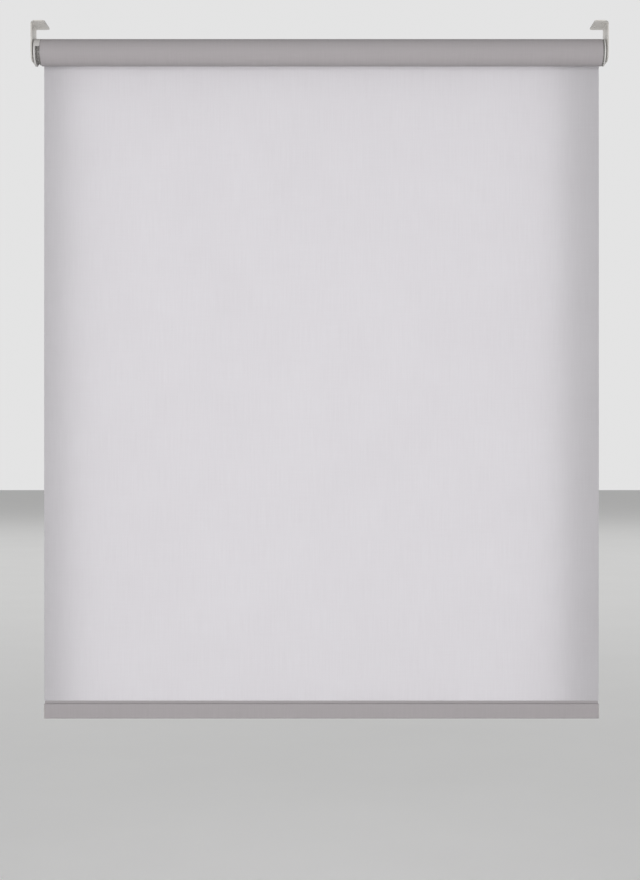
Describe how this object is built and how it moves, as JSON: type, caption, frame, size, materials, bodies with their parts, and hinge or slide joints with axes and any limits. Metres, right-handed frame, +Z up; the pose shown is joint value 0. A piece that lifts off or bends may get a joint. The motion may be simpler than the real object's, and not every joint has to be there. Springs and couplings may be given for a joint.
{
  "type": "roller blind",
  "caption": "Roller blind with a side control, hung from two angle brackets under the head of a window recess; a plain light-grey cloth leaves the back of the roll down to a weighted hem.",
  "frame": {"origin": "on the head of the recess, the plane that both bracket feet press against, midway between the brackets and straight above the roller's axis", "axes": "+X to the right along the roller, seen from the room; +Y towards the window; +Z up"},
  "size_m": [0.985, 0.0633, 1.195],
  "materials": {
    "painted_steel": "light grey powder coat on 2 mm pressed steel",
    "grey_abs": "fine spark-eroded moulding grain",
    "grey_acetal": "smooth, slightly waxy moulding",
    "aluminium": "mill finish with fine draw lines",
    "spring_steel": "bright drawn wire",
    "polyester_cloth": "light-filtering plain-weave polyester, acrylic coated, light warm grey"
  },
  "bodies": {
    "brackets": {"control_bracket": "painted_steel", "control_housing": "grey_abs", "fixed_post": "grey_acetal", "core_washer": "spring_steel", "core_screw": "spring_steel", "idle_bracket": "painted_steel", "idle_socket": "grey_abs", "fabric_sheet": "polyester_cloth"},
    "roller": {"drive_core": "grey_acetal", "tube_adaptor": "grey_acetal", "clutch_spring_outer": "spring_steel", "clutch_spring_inner": "spring_steel", "roller_tube": "aluminium", "fabric_fixing_strip": "grey_abs", "fabric_roll": "polyester_cloth", "idle_plug": "grey_acetal", "idle_spring": "spring_steel"},
    "chain_wheel": {"chain_wheel": "grey_acetal"},
    "hem": {"hem_bar": "aluminium", "hem_pocket": "polyester_cloth", "hem_cap_left": "grey_abs", "hem_cap_right": "grey_abs"},
    "idle_pin": {"idle_pin": "grey_acetal", "pin_retaining_ring": "spring_steel"}
  },
  "joints": [
    {"name": "roller_turn", "type": "hinge", "parent": "brackets", "child": "roller", "pos_m": [0, 0, -0.0461], "axis": [1, 0, 0], "range_deg": [0, 2498]},
    {"name": "chain_wheel_turn", "type": "hinge", "parent": "brackets", "child": "chain_wheel", "pos_m": [-0.4825, 0, -0.0461], "axis": [1, 0, 0], "range_deg": [0, 2498]},
    {"name": "hem_lift", "type": "slide", "parent": "brackets", "child": "hem", "axis": [0, 0, 1], "range_m": [0, 1.07], "deforming": ["fabric_sheet"]},
    {"name": "idle_pin_slide", "type": "slide", "parent": "roller", "child": "idle_pin", "axis": [-1, 0, 0], "range_m": [0, 0.006], "stiffness_N_per_m": 800, "springref_m": -0.004, "deforming": ["idle_spring"]}
  ],
  "couplings": [
    {"joint": "chain_wheel_turn", "follows": "roller_turn", "ratio": 1},
    {"joint": "hem_lift", "follows": "roller_turn", "m_per_rad": 0.02454}
  ]
}
